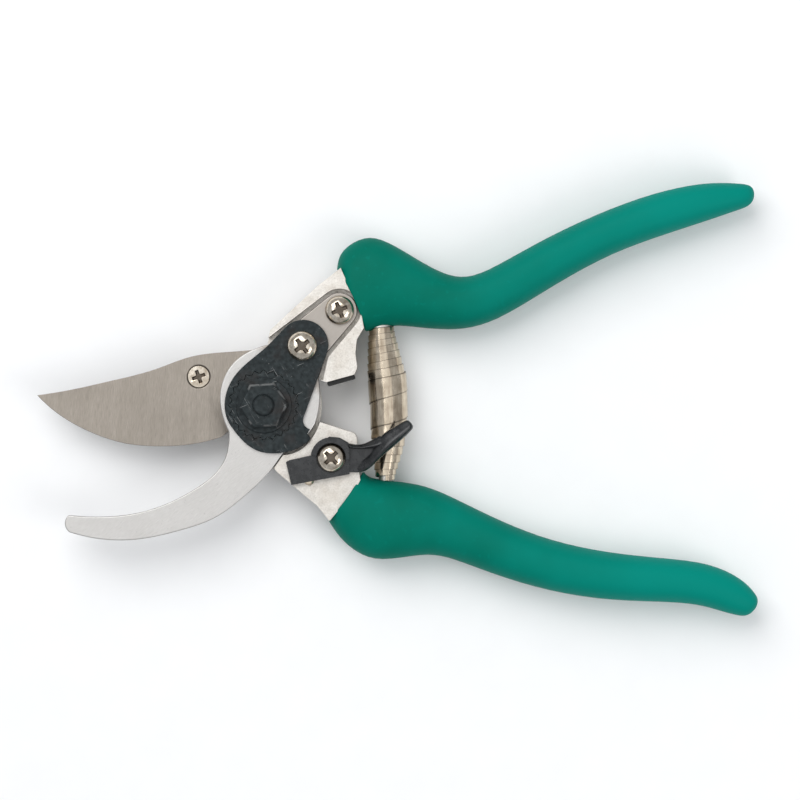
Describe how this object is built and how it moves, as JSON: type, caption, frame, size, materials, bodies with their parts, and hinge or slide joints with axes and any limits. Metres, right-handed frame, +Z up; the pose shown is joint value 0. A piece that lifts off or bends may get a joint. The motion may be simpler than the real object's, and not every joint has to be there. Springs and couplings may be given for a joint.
{
  "type": "bypass pruning shears",
  "caption": "Hand pruning shears shown open: curved cutting blade passing a hooked counter-blade, coated handles, coil spring between them and a catch lever.",
  "frame": {"origin": "on the pivot axis, at the flat face of the pivot bolt's head, which lies on the table", "axes": "+X from the pivot towards the handle ends, blades towards -X; +Y towards the upper handle; +Z up from the table towards the lock plate"},
  "size_m": [0.2009, 0.1209, 0.0226],
  "materials": {
    "cast_aluminium": "sand-cast and tumbled, fine specks",
    "grip_rubber": "matte dipped vinyl, teal green",
    "blade_steel": "ground, fine cross grain",
    "hook_steel": "satin ground",
    "nickel_screw": "bright nickel plate",
    "blackened_steel": "black oxide with light scratches",
    "black_lacquer": "gloss black lacquer on a die casting",
    "spring_steel": "bright nickelled strip",
    "bronze": "turned",
    "black_rubber": "moulded rubber"
  },
  "bodies": {
    "lower_half": {"lower_handle": "cast_aluminium", "lower_grip": "grip_rubber", "cutting_blade": "blade_steel", "blade_screw": "nickel_screw", "pivot_bush": "bronze", "catch_screw": "nickel_screw", "catch_washer": "spring_steel", "catch_detent_pin": "spring_steel", "lower_spring_peg": "cast_aluminium", "handle_spring": "spring_steel"},
    "upper_half": {"upper_handle": "cast_aluminium", "upper_grip": "grip_rubber", "counter_blade": "hook_steel", "counter_blade_screw": "nickel_screw", "lock_plate": "blackened_steel", "lock_plate_screw": "nickel_screw", "pivot_bolt": "blackened_steel", "pivot_washer": "spring_steel", "pivot_nut": "blackened_steel", "stop_bumper": "black_rubber", "upper_spring_peg": "cast_aluminium"},
    "catch": {"catch_lever": "black_lacquer"}
  },
  "joints": [
    {"name": "pivot_close", "type": "hinge", "parent": "lower_half", "child": "upper_half", "pos_m": [0, 0, 0], "axis": [0, 0, -1], "range_deg": [0, 33], "stiffness_Nm_per_rad": 0.8, "springref_deg": -20.05, "deforming": ["handle_spring"]},
    {"name": "catch_turn", "type": "hinge", "parent": "lower_half", "child": "catch", "pos_m": [0.0188, -0.0146, 0.0165], "axis": [0, 0, -1], "range_deg": [0, 8.8]}
  ]
}
